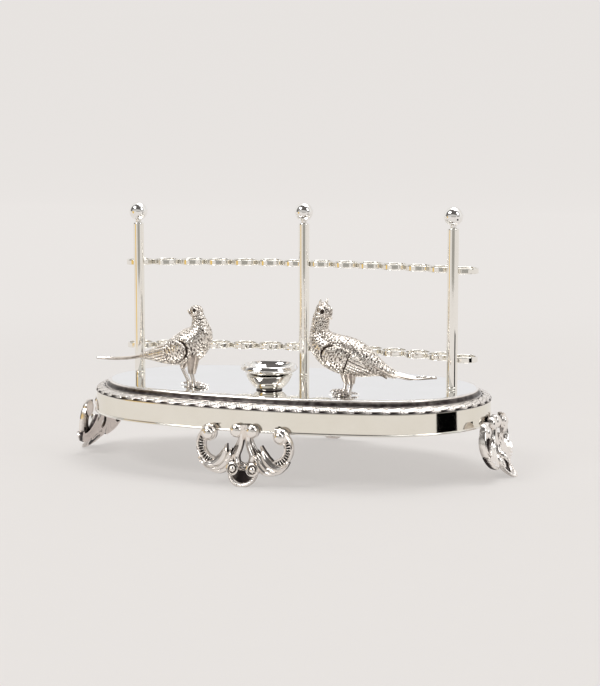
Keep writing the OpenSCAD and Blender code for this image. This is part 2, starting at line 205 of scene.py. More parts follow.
class Shell:
    """Collects vertices, faces and relief values, all in millimetres, and turns them into one piece."""

    def __init__(self):
        self.points, self.faces, self.relief = [], [], []

    def grid(self, rows, around=False, closed=False, relief=None, cap_start=False, cap_end=False):
        """Adds rows of points. around closes each row on itself, and closed joins the last to the first."""
        first = len(self.points)
        count, width = len(rows), len(rows[0])
        for i, row in enumerate(rows):
            self.points.extend(row)
            self.relief.extend(relief[i] if relief else [1.0] * width)
        for i in range(count if closed else count - 1):
            a, b = first + i * width, first + (i + 1) % count * width
            for j in range(width if around else width - 1):
                k = (j + 1) % width
                self.faces.append((a + j, a + k, b + k, b + j))
        if cap_start:
            self.faces.append(tuple(first + j for j in reversed(range(width))))
        if cap_end:
            self.faces.append(tuple(first + (count - 1) * width + j for j in range(width)))
        return self

    def solid(self, rows, relief=None):
        """Adds rows of points that close on themselves, with both ends filled."""
        return self.grid(rows, around=True, relief=relief, cap_start=True, cap_end=True)

    def lathe(self, profile, centre=(0, 0, 0), steps=64, relief=None):
        """Turns (radius, height) points about a vertical axis."""
        cx, cy, cz = centre
        rows = [[Vector((cx + r * cos(a), cy + r * sin(a), cz + z)) for a in turns(steps)]
                for r, z in profile]
        values = [[relief[i]] * steps for i in range(len(profile))] if relief else None
        return self.grid(rows, around=True, relief=values)

    def tube(self, path, radii, sides=12, relief=1.0, squash=1.0, up=Vector((0, 0, 1))):
        """Skins a round or flattened tube along a path."""
        rows, values = [], []
        for i, p in enumerate(path):
            ahead = heading(path, i)
            side = ahead.cross(up)
            side = side.normalized() if side.length > 1e-4 else Vector((1, 0, 0))
            top = side.cross(ahead)
            r = radii[i] if hasattr(radii, "__len__") else radii
            rows.append([p + side * r * cos(a) + top * r * squash * sin(a) for a in turns(sides)])
            values.append([relief[i] if hasattr(relief, "__len__") else relief] * sides)
        return self.solid(rows, values)

    def ball(self, centre, radius, relief=1.0, sides=20, stretch=(1, 1, 1)):
        """Adds a round or stretched ball."""
        centre = Vector(centre)
        rows = []
        for i in range(1, sides):
            a = pi * i / sides
            rows.append([centre + Vector((stretch[0] * sin(a) * cos(b), stretch[1] * sin(a) * sin(b),
                                          stretch[2] * cos(a))) * radius for b in turns(sides)])
        return self.solid(rows, [[relief] * sides for _ in rows])

    def place(self, matrix):
        """Moves everything collected so far."""
        self.points = [matrix @ Vector(p) for p in self.points]
        return self

    def add(self, other):
        """Takes over another shell's mesh."""
        first = len(self.points)
        self.points.extend(other.points)
        self.relief.extend(other.relief)
        self.faces.extend(tuple(first + v for v in f) for f in other.faces)
        return self

    def piece(self, name, material, slot, replaces, body="stand", smooth_angle=40):
        """Makes the object, which rides on a CAD body and stands for CAD nodes."""
        mesh = bpy.data.meshes.new(name)
        mesh.from_pydata([Vector(p) * MM for p in self.points], [], self.faces)
        mesh.validate()
        layer = mesh.attributes.new("relief", "FLOAT", "POINT")
        layer.data.foreach_set("value", self.relief)
        mesh.materials.append(material)
        obj = new_object(name, mesh)
        mesh.polygons.foreach_set("use_smooth", [True] * len(mesh.polygons))
        bpy.context.view_layer.objects.active = obj
        obj.select_set(True)
        bpy.ops.object.mode_set(mode="EDIT")
        bpy.ops.mesh.select_all(action="SELECT")
        bpy.ops.mesh.normals_make_consistent(inside=False)
        bpy.ops.object.mode_set(mode="OBJECT")
        bpy.ops.object.shade_smooth_by_angle(angle=radians(smooth_angle))
        obj.select_set(False)
        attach(obj, body)
        if replaces:
            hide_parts(*replaces)
        return obj


def smoothstep(a, b, x):
    """0 below a, 1 above b, and a smooth rise between."""
    t = min(max((x - a) / (b - a), 0), 1)
    return t * t * (3 - 2 * t)


def spline(points, steps):
    """A Catmull-Rom curve through points, with steps per span."""
    pts = [Vector(p) for p in points]
    pts = [pts[0] * 2 - pts[1]] + pts + [pts[-1] * 2 - pts[-2]]
    out = []
    for i in range(1, len(pts) - 2):
        a, b, c, d = pts[i - 1:i + 3]
        for k in range(steps):
            t = k / steps
            out.append(0.5 * (2 * b + (c - a) * t + (2 * a - 5 * b + 4 * c - d) * t * t
                              + (3 * b - 3 * c + d - a) * t ** 3))
    return out + [pts[-2].copy()]


# ---------------------------------------------------------------- the tray

TRAY_LOW, TRAY_HIGH, _ = box_mm("edge_wire")
DECK_LOW, DECK_HIGH, _ = box_mm("deck_plate")
_, BORDER_HIGH, _ = box_mm("leaf_border")
BAND_LOW, BAND_HIGH, _ = box_mm("apron_band")
END_RADIUS = 52
HALF_LENGTH, HALF_WIDTH = TRAY_HIGH.x, TRAY_HIGH.y
END_X = HALF_LENGTH - END_RADIUS
SIDE_RADIUS = (END_X ** 2 + HALF_WIDTH ** 2 - END_RADIUS ** 2) / (2 * (HALF_WIDTH - END_RADIUS))
SIDE_Y = SIDE_RADIUS - HALF_WIDTH
END_ANGLE = atan2(SIDE_Y, END_X)
SIDE_ANGLE = pi / 2 - END_ANGLE
DECK_OUT = DECK_HIGH.x - HALF_LENGTH
BORDER_OUT = BORDER_HIGH.x - HALF_LENGTH
BORDER_WIDTH = 5
BORDER_IN = BORDER_OUT - BORDER_WIDTH
DECK_TOP = DECK_HIGH.z
OVAL_STEPS = 480
# the steps are even along a line inside the outline, and WALK_LENGTH is that line's length
WALK_IN = -3
WALK_LENGTH = 4 * ((SIDE_RADIUS + WALK_IN) * SIDE_ANGLE + (END_RADIUS + WALK_IN) * END_ANGLE)


def oval_walk(count):
    """Evenly spaced (point, normal) pairs round the outline, from the middle of the front towards +X."""
    half = SIDE_ANGLE
    arcs = [((0, SIDE_Y), SIDE_RADIUS, -pi / 2, half), ((END_X, 0), END_RADIUS, -END_ANGLE, 2 * END_ANGLE),
            ((0, -SIDE_Y), SIDE_RADIUS, pi / 2 - half, 2 * half),
            ((-END_X, 0), END_RADIUS, pi - END_ANGLE, 2 * END_ANGLE),
            ((0, SIDE_Y), SIDE_RADIUS, -pi / 2 - half, half)]
    lengths = [(r + WALK_IN) * sweep for _, r, _, sweep in arcs]
    total = sum(lengths)
    for i in range(count):
        s = total * i / count
        for (centre, r, start, sweep), length in zip(arcs, lengths):
            if s <= length:
                break
            s -= length
        a = start + sweep * min(s / length, 1)
        normal = Vector((cos(a), sin(a), 0))
        yield Vector((*centre, 0)) + normal * r, normal


def sweep_profile(profile):
    """Rows of a closed (offset, height) profile swept round the oval."""
    return [[p + n * o + Vector((0, 0, z)) for o, z in profile] for p, n in oval_walk(OVAL_STEPS)]


def rounded(profile, radius, steps=4):
    """Rounds the corners of a closed profile."""
    out = []
    for i, corner in enumerate(profile):
        before, after = Vector(profile[i - 1]), Vector(profile[(i + 1) % len(profile)])
        corner = Vector(corner)
        r = min(radius, (before - corner).length * 0.45, (after - corner).length * 0.45)
        a = corner + (before - corner).normalized() * r
        b = corner + (after - corner).normalized() * r
        for k in range(steps + 1):
            t = k / steps
            out.append(tuple(a * (1 - t) ** 2 + corner * 2 * t * (1 - t) + b * t * t))
        # a second point beyond the rounding keeps the straight run flat
        run = Vector(profile[(i + 1) % len(profile)]) - b
        if run.length > 4 * r:
            out.append(tuple(b + run.normalized() * r))
            out.append(tuple(b + run.normalized() * (run.length - 2 * r)))
    return out


# The deck: a mirror plate with a softly rolled edge
deck_rings = [(-30, 0), (-12, 0), (-3, 0), (-0.9, 0), (-0.45, -0.05), (-0.15, -0.2), (0, -0.45), (0, -1.1),
              (-0.2, -1.35), (-3, -1.4), (-30, -1.4)]
rows = [[p + n * (DECK_OUT + o) + Vector((0, 0, DECK_TOP + z)) for p, n in oval_walk(OVAL_STEPS)]
        for o, z in deck_rings]
Shell().solid(rows).piece("deck", MIRROR, "polished_silver", ["deck_plate"])

# The cove under the deck's edge: a bead, a hollow and a fillet that meets the border
cove_out, cove_top, cove_low = BORDER_IN + 0.1, DECK_TOP - 0.15, BORDER_HIGH.z
hollow = [(DECK_OUT + 0.55 + (cove_out - DECK_OUT - 0.95) * (1 - cos(t * pi / 2)),
           cove_top - 0.65 - (cove_top - 0.65 - cove_low - 0.25) * sin(t * pi / 2))
          for t in [k / 10 for k in range(11)]]
cove = [(DECK_OUT - 0.1, cove_top), (DECK_OUT + 0.45, cove_top - 0.02), (DECK_OUT + 0.62, cove_top - 0.3)]
cove += hollow + [(cove_out, cove_low + 0.18), (cove_out, cove_low - 0.8), (DECK_OUT - 0.1, cove_low - 0.8)]
# the hollow's low tones are painted shade under the deck's rolled edge; the bead and fillet stay bright
tones = [1.0, 1.0, 0.8] + [0.24 - 0.1 * sin(pi * k / 10) for k in range(11)] + [0.9, 0.5, 0.5]
cove_rows = sweep_profile(cove)
Shell().grid(cove_rows, around=True, closed=True, relief=[tones] * len(cove_rows)).piece(
    "cove", CAST, "polished_silver", ["cove_moulding"])

# The plain band, flared towards its foot, with a thin wire along its lower edge
band_top, band_low = BAND_HIGH.z, BAND_LOW.z
band = rounded([(-1.1, band_top), (-0.7, band_low - 0.2), (-1.9, band_low - 0.2), (-2.3, band_top)], 0.15)
Shell().grid(sweep_profile(band), around=True, closed=True).piece(
    "apron", BAND, "polished_silver", ["apron_band"])
wire_z, wire_r = (TRAY_LOW.z + TRAY_HIGH.z) / 2, (TRAY_HIGH.z - TRAY_LOW.z) / 2
wire = [(-wire_r + wire_r * cos(a), wire_z + wire_r * sin(a)) for a in turns(14)]
wire = [(o if o > -wire_r else -1.9, z) for o, z in wire]
Shell().grid(sweep_profile(wire), around=True, closed=True).piece(
    "lower_wire", PLATE, "polished_silver", ["edge_wire"])

# The border: leaves that lie over one another between two fine beads
LEAF_PITCH, BORDER_GIRTH = 7.6, 5.8
LEAVES = round(WALK_LENGTH / LEAF_PITCH)
LEAF_STEPS = 34
# Each leaf of the repeat: place along and across, half-length, half-width, slant and layer height
REPEAT = [(0.50, 0.52, 4.9, 1.5, -24, 1.0), (0.02, 0.25, 3.0, 1.0, -14, 0.8),
          (0.98, 0.82, 3.0, 1.0, -16, 0.8), (0.03, 0.55, 3.1, 0.75, 40, 0.9)]


def leaf_relief(u, v):
    """Height from 0 to 1 of the leaf pattern. u counts repeats along the border, v runs across it."""
    best = 0.16
    along, across = (u - floor(u)) * LEAF_PITCH, v * BORDER_GIRTH
    for at, row, long, wide, slant, top in REPEAT:
        for k in (-1, 0, 1):
            x, y = along - (at + k) * LEAF_PITCH, across - row * BORDER_GIRTH
            a = radians(slant)
            s, t = (x * cos(a) + y * sin(a)) / long, (y * cos(a) - x * sin(a)) / wide
            if abs(s) >= 1:
                continue
            t -= 0.35 * sin(s * 2.6)
            edge = (1 - abs(s) ** 2.4) * (1 + 0.25 * s)
            if abs(t) < edge:
                q = t / edge
                blade = 0.45 + 0.55 * (1 - q * q) ** 0.5 - 0.42 * exp(-(q * 6) ** 2)
                blade += 0.1 * sin(s * long * 5.2 + abs(q) * 5)
                best = max(best, top * blade * (0.72 + 0.28 * smoothstep(-1, 0.2, s)))
    return best


border_profile = [(BORDER_IN, 0), (BORDER_IN + 0.5, 0.06), (BORDER_IN + 1.4, 0), (BORDER_OUT - 2.2, -0.35),
                  (BORDER_OUT - 1.0, -0.95), (BORDER_OUT - 0.35, -1.7), (BORDER_OUT - 0.2, -2.3)]
crest = [(o, z) for o, z, _ in spline([(o, z, 0) for o, z in border_profile], 5)]
border_rows, border_values = [], []
last = len(crest) - 1
for i, (p, n) in enumerate(oval_walk(LEAVES * LEAF_STEPS)):
    row, values = [], []
    for j, (o, z) in enumerate(crest):
        before, after = crest[max(j - 1, 0)], crest[min(j + 1, last)]
        out = Vector((before[1] - after[1], after[0] - before[0])).normalized()
        v = (j / last - 0.06) / 0.88
        h = leaf_relief(i / LEAF_STEPS, v) if 0 < v < 1 else 0.8
        lift = (h - 0.75) * 0.6
        row.append(p + n * (o + out.x * lift) + Vector((0, 0, BORDER_HIGH.z + z + out.y * lift)))
        values.append(smoothstep(0.34, 0.95, h))
    for o, z in ((BORDER_OUT - 0.5, -2.4), (BORDER_IN, -2.4)):
        row.append(p + n * o + Vector((0, 0, BORDER_HIGH.z + z)))
        values.append(0.5)
    border_rows.append(row)
    border_values.append(values)
Shell().grid(border_rows, around=True, closed=True, relief=border_values).piece(
    "leaf_pattern", CAST, "antiqued_silver", ["leaf_border"], smooth_angle=60)

# ---------------------------------------------------------------- posts and rings

for side in ("left", "middle", "right"):
    low, high, centre = box_mm(f"post_{side}")
    _, ball_high, _ = box_mm(f"finial_{side}")
    r = (high.x - low.x) / 2
    stud = 1.5
    shaft = [(0.01, low.z), (stud, low.z + 0.2), (stud, DECK_LOW.z)]
    shaft += [(r - inset, DECK_TOP + z) for inset, z in ((0.2, 0.005), (0, 0.2), (0, 0.9), (0.1, 1.0),
                                                        (0, 1.15), (0, 1.5), (0, 2.2))]
    shaft += [(r - inset, high.z - z) for inset, z in ((0, 1.4), (0, 0.7), (0, 0.35), (0.12, 0.1), (0.4, 0))]
    shaft.append((0.01, high.z))
    Shell().lathe(shaft, (centre.x, centre.y, 0), 72).piece(
        f"turned_post_{side}", PLATE, "polished_silver", [f"post_{side}"])
    ball_r = 4.4
    ball_z = ball_high.z - ball_r
    knob = [(0.01, high.z - 2), (1.5, high.z - 2), (1.5, high.z), (1.9, high.z + 0.1), (1.5, high.z + 0.45),
            (1.45, high.z + 0.8)]
    knob += [(ball_r * sin(a), ball_z - ball_r * cos(a))
             for a in [0.38 + (pi - 0.4) * k / 28 for k in range(29)]]
    Shell().lathe(knob, (centre.x, centre.y, 0), 64).piece(
        f"ball_finial_{side}", MIRROR, "polished_silver", [f"finial_{side}"])

random.seed(7)
RING_NAMES = [f"{i:02d}" for i in range(1, 15)]
RING_WALL, RING_STEPS = 0.9, 72
SOLDER_HALF_HEIGHT = 0.95
for row_name in ("upper", "lower"):
    shell = Shell()
    centres = []
    for number in RING_NAMES:
        low, high, centre = box_mm(f"{row_name}_ring_{number}")
        outer, tall = (high.x - low.x) / 2, high.z - low.z
        inner = outer - RING_WALL
        section = rounded([(outer, -tall / 2), (outer, tall / 2), (inner, tall / 2), (inner, -tall / 2)],
                          0.3, 3)
        tip = random.uniform(-0.01, 0.01)
        rows = [[Vector((r * cos(a), r * sin(a), z + tip * r * 0.2)) for r, z in section]
                for a in turns(RING_STEPS)]
        shell.add(Shell().grid(rows, around=True, closed=True).place(Matrix.Translation(centre)))
        centres.append(centre)
    for a, b in zip(centres, centres[1:]):
        # a saddle of solder fills the notch on each side of the contact
        across = (b - a).normalized()
        away = Vector((-across.y, across.x, 0))
        middle = (a + b) / 2
        if abs(middle.x) < 1:
            continue
        for s in (-1, 1):
            rows = []
            for rise in (-1, -0.7, 0, 0.7, 1):
                reach = 1.15 * sqrt(1 - rise ** 2 * 0.6)
                width = 0.08 + reach ** 2 / (outer * 2) * 2.1
                spot = middle + Vector((0, 0, SOLDER_HALF_HEIGHT * rise))
                rows.append([spot + away * s * 0.05, spot + away * s * reach * 0.8 - across * width * 0.8,
                             spot + away * s * reach * 0.92,
                             spot + away * s * reach * 0.8 + across * width * 0.8])
            shell.solid(rows)
    stands_for = [f"{row_name}_ring_{k}" for k in RING_NAMES]
    if row_name == "upper":
        stands_for.append("ring_solder")
    shell.piece(f"{row_name}_ring_row", PLATE, "polished_silver", stands_for)

# ---------------------------------------------------------------- cup and dish

cup_low, cup_high, cup_centre = box_mm("cup")
dish_low, dish_high, _ = box_mm("dish")
seat = (cup_centre.x, cup_centre.y, cup_low.z)
cup_r, cup_h = (cup_high.x - cup_low.x) / 2, cup_high.z - cup_low.z
cup_profile = [(0.01, 0.02), (5.3, 0.02), (5.6, 0.15), (5.7, 0.4), (5.75, 0.62), (5.9, 0.85), (6.2, 1.05),
               (6.8, 1.45), (7.6, 2.2), (8.5, 3.3), (9.3, 4.5), (9.95, 5.7), (10.3, 6.4), (cup_r, 6.8),
               (cup_r - 0.02, cup_h - 0.1), (cup_r - 0.25, cup_h), (cup_r - 0.6, cup_h - 0.05),
               (9.3, 6.3), (8.6, 5.2), (7.7, 4.0), (6.7, 2.9), (5.7, 2.0), (4.7, 1.4), (0.01, 1.22)]
Shell().lathe(cup_profile, seat, 96).piece("small_cup", PLATE, "polished_silver", ["cup"])
# a near-black ring where the cup meets the deck: painted contact shadow
seam = [(5.2, 0.01), (5.9, 0.03), (6.0, 0.2), (5.85, 0.42), (5.2, 0.5)]
Shell().lathe(seam, seat, 72, relief=[0] * len(seam)).piece("cup_contact_shadow", CAST, "antiqued_silver", [])
rim_r, rim_z, foot_z = (dish_high.x - dish_low.x) / 2, dish_high.z - cup_low.z, dish_low.z - cup_low.z
dish_profile = [(0.01, foot_z), (3.8, foot_z), (4.6, foot_z + 0.35), (5.6, foot_z + 1.1), (6.6, 4.1),
                (7.7, 5.3), (8.6, 6.5), (9.2, 7.2), (10.3, 7.95), (11.6, 8.75), (12.7, 9.5)]
dish_profile += [(rim_r - inset, rim_z - drop) for inset, drop in (
    (0.08, 1.95), (0, 1.7), (0.12, 1.4), (0.55, 0.6), (0.9, 0.08), (1.1, 0), (1.35, 0.1))]
dish_profile += [(11.5, 10.7), (10.9, 10.1), (10.2, 9.2), (9.2, 8.2), (8.3, 7.2), (7.3, 6.0), (6.2, 4.8),
                 (5.0, 3.7), (3.8, foot_z + 0.95), (0.01, foot_z + 0.8)]
Shell().lathe(dish_profile, seat, 112).piece("flared_dish", MIRROR, "polished_silver", ["dish"], body="dish")

# ---------------------------------------------------------------- the feet

FOOT_HEIGHT = 27.6
SCROLL_X, SCROLL_Z, SCROLL_R, SCROLL_BAND = 13.4, 17.6, 9.4, 4.3
SCROLL_DEPTH, FOOT_BEND = 3.024, 21
TOE_Z = 6.6
# Each leaf lobe of half a foot: (across, up) points, half-widths, depth and how far its front stands out
LOBES = (([(21.2, 12.0), (18.4, 9.4), (14.6, 9.4), (11.3, 11.6), (9.4, 14.6), (8.2, 18.6)],
          [0.4, 1.4, 2.0, 2.2, 1.7, 0.15], 2.1, -2.3),
         ([(20.6, 10.6), (16.8, 7.9), (12.6, 7.9), (9.4, 10.2), (7.4, 13.2), (6.1, 16.6)],
          [0.4, 1.3, 1.8, 2.0, 1.6, 0.15], 1.9, -2.1),
         ([(18.8, 9.0), (14.8, 7.0), (10.8, 6.9), (8.0, 8.8), (6.2, 11.6), (4.9, 14.2)],
          [0.4, 1.1, 1.6, 1.8, 1.4, 0.15], 1.7, -1.9),
         ([(1.5, 27.2), (1.5, 23), (1.75, 19.6), (2.7, 16.4), (3.7, 13.6), (3.0, 10.4)],
          [1.7, 1.3, 1.35, 1.45, 1.55, 1.3], 1.7, -1.9),
         ([(3.0, 22.4), (3.2, 19.8), (4.2, 17.2), (5.6, 14.8), (5.4, 11.4)], [0.3, 0.8, 1.0, 1.0, 0.7],
          1.0, -1.0),
         ([(0.2, 9.4), (1.8, 10.0), (3.4, 11.4)], [0.9, 1.0, 0.9], 1.1, -1.3))


def scroll_shell():
    """One C scroll: two raised rims, a dark ribbed channel between them, and a ball in its upper end."""
    shell = Shell()
    section = [(0, 0), (0, 0.55), (0.05, 0.88), (0.13, 1.0), (0.22, 0.9), (0.28, 0.55), (0.33, 0.4),
               (0.4, 0.36), (0.5, 0.35), (0.6, 0.36), (0.68, 0.4), (0.74, 0.56), (0.82, 0.8), (0.9, 0.86),
               (0.97, 0.7), (1, 0.4), (1, 0)]
    rows, values = [], []
    first, final, steps = radians(84), radians(-112), 200
    for i in range(steps + 1):
        t = i / steps
        a = first + (final - first) * t
        taper = smoothstep(-0.05, 0.2, t) * smoothstep(1.1, 0.8, t)
        width = SCROLL_BAND * (0.42 + 0.58 * taper)
        rib = 0.5 + 0.5 * cos(a * 37)
        row, value = [], []
        for s, h in section:
            r = SCROLL_R - s * width
            channel = smoothstep(0.3, 0.36, s) * smoothstep(0.72, 0.66, s)
            lift = h + 0.3 * rib * channel
            row.append(Vector((SCROLL_X + r * cos(a), -SCROLL_DEPTH * lift, SCROLL_Z + r * sin(a))))
            rim_tone = 0.45 + 0.55 * smoothstep(0.35, 0.8, h)
            value.append((1 - channel) * rim_tone + channel * 0.9 * rib ** 1.5)
        rows.append(row)
        values.append(value)
    shell.grid(rows, relief=values, cap_start=True, cap_end=True)
    knob_x, knob_z = SCROLL_X + 3.6, FOOT_HEIGHT - 4.6
    shell.ball((knob_x, -1.6, knob_z), 3.5, 0.95, 26, (1, 0.62, 1))
    shell.ball((knob_x - 0.2, -2.7, knob_z - 0.3), 2.5, 1.0, 22, (1, 0.72, 1))
    shell.add(volute_shell(knob_x, knob_z, 3.75, 2.0))
    return shell


def blade_shell(path, widths, depth, front):
    """A leaf lobe: a ridged tube that tapers to a point, darker along its edges."""
    curve = spline([(x, 0, z) for x, z in path], 10)
    rows, values = [], []
    for i, p in enumerate(curve):
        ahead = heading(curve, i)
        side = Vector((ahead.z, 0, -ahead.x))
        w = width_at(widths, i / (len(curve) - 1))
        row, value = [], []
        for j in range(17):
            s = -1 + j / 8
            crown = sqrt(max(1 - s * s, 0))
            ridge = 0.8 * crown + 0.28 * exp(-(s * 4) ** 2)
            row.append(p + side * w * s + Vector((0, front + 0.9 - depth * ridge, 0)))
            value.append(0.12 + 0.95 * smoothstep(0.25, 0.8, crown))
        for s in (1, -1):
            row.append(p + side * w * s)
            value.append(0.1)
        rows.append(row)
        values.append(value)
    return Shell().solid(rows, values)


def volute_shell(x, z, radius, front):
    """A rolled end seen from the front: a rim, a dark groove and a domed button."""
    profile = [(radius * across, front * out) for across, out in (
        (1, 0), (1.02, 0.7), (0.95, 1), (0.82, 1.06), (0.68, 0.98), (0.6, 0.78), (0.54, 0.8), (0.48, 1.02),
        (0.3, 1.2))]
    profile.append((0.01, front * 1.26))
    tones = [0.3, 0.6, 1, 1, 0.7, 0.05, 0.08, 0.8, 1, 1]
    rows = [[Vector((x + r * cos(a), -y, z + r * sin(a))) for a in turns(36)] for r, y in profile]
    return Shell().grid(rows, around=True, relief=[[v] * 36 for v in tones], cap_start=True)


def foot_shell(splay):
    """A cast foot in its own frame: upright at the top, with its toe curving outwards to -Y."""
    half = scroll_shell()
    for lobe in LOBES:
        half.add(blade_shell(*lobe))
    half.ball((3.7, -1.9, FOOT_HEIGHT - 3.0), 2.9, 0.92, 24, (1, 0.75, 1))
    half.add(volute_shell(3.7, FOOT_HEIGHT - 3.0, 3.0, 2.4))
    half.add(volute_shell(4.7, 8.1, 3.0, 3.4))
    shell = Shell().add(half).add(half.place(Matrix.Scale(-1, 4, Vector((1, 0, 0)))))
    shell.add(blade_shell([(0, 27.4), (0, 24.2), (0, 20.8)], [1.6, 1.1, 0.2], 1.4, -2.0))
    shell.add(blade_shell([(-5, 6.1), (-2.4, 7.3), (0, 7.7), (2.4, 7.3), (5, 6.1)],
                          [0.5, 0.7, 0.8, 0.7, 0.5], 1.0, -1.6))
    # the toe: a beaded roll under a dark hollow
    arc = [Vector((6.0 * cos(a), -1.5 + 0.5 * sin(a), TOE_Z + 5.4 * sin(a)))
           for a in [radians(18 - 216 * k / 40) for k in range(41)]]
    shell.tube(arc, 1.15, 14, 0.55, 1.0, Vector((0, 1, 0)))
    for k in range(19):
        a = radians(8 - 196 * k / 18)
        shell.ball((6.05 * cos(a), -2.5 + 0.4 * sin(a), TOE_Z + 5.5 * sin(a)), 0.62, 1.0, 10)
    # the scoop is a sheet painted near black, a little lighter at its sides: painted shade in the opening
    # under the volutes
    scoop = [[Vector((x * sqrt(1 - s * s), -0.5 - abs(x) / 6, TOE_Z + 5.2 * s))
              for x in [0.9 * j for j in range(-6, 7)]] for s in [-0.96 + 0.12 * i for i in range(10)]]
    shell.grid(scoop, relief=[[0.02 + 0.2 * abs(j - 6) / 6 for j in range(13)] for _ in scoop])
    bend_r = (FOOT_BEND ** 2 + splay ** 2) / (2 * splay)
    for i, p in enumerate(shell.points):
        fall = max(FOOT_BEND - p.z, 0)
        shell.points[i] = Vector((p.x, min(p.y, 0) - bend_r + sqrt(bend_r ** 2 - fall ** 2), p.z))
    return shell


END_SPLAY, SIDE_SPLAY, FOOT_SINK = 10.4, 3.6, 0.5
for side, turn, reach, splay in (("front", 0, HALF_WIDTH, SIDE_SPLAY), ("back", pi, HALF_WIDTH, SIDE_SPLAY),
                                 ("left", -pi / 2, HALF_LENGTH, END_SPLAY),
                                 ("right", pi / 2, HALF_LENGTH, END_SPLAY)):
    foot = foot_shell(splay)
    foot.place(Matrix.Translation((0, -reach - 0.15, -FOOT_SINK)))
    tab = rounded([(-3, TRAY_LOW.z - 1.4), (3, TRAY_LOW.z - 1.4), (3, TRAY_LOW.z), (-3, TRAY_LOW.z)], 0.25)
    foot.solid([[Vector((x, y, z)) for x, z in tab] for y in (-reach - 1.2, -reach + 3.8)],
               [[0.5] * len(tab)] * 2)
    foot.place(Matrix.Rotation(turn, 4, "Z"))
    foot.points = [Vector((p.x, p.y, max(p.z, 0))) for p in foot.points]
    scroll_foot = foot.piece(f"scroll_foot_{side}", CAST, "antiqued_silver", [f"foot_{side}"])
    # the flat back faces that look inwards get a pale, rough, part-metallic plate: its pale colour is painted
    # reflection of light surroundings
    scroll_foot.data.materials.append(CAST_BACK)
    inwards = Vector((-sin(turn), cos(turn), 0))
    for polygon in scroll_foot.data.polygons:
        if polygon.normal.dot(inwards) > 0.6:
            polygon.material_index = 1

# ---------------------------------------------------------------- the birds


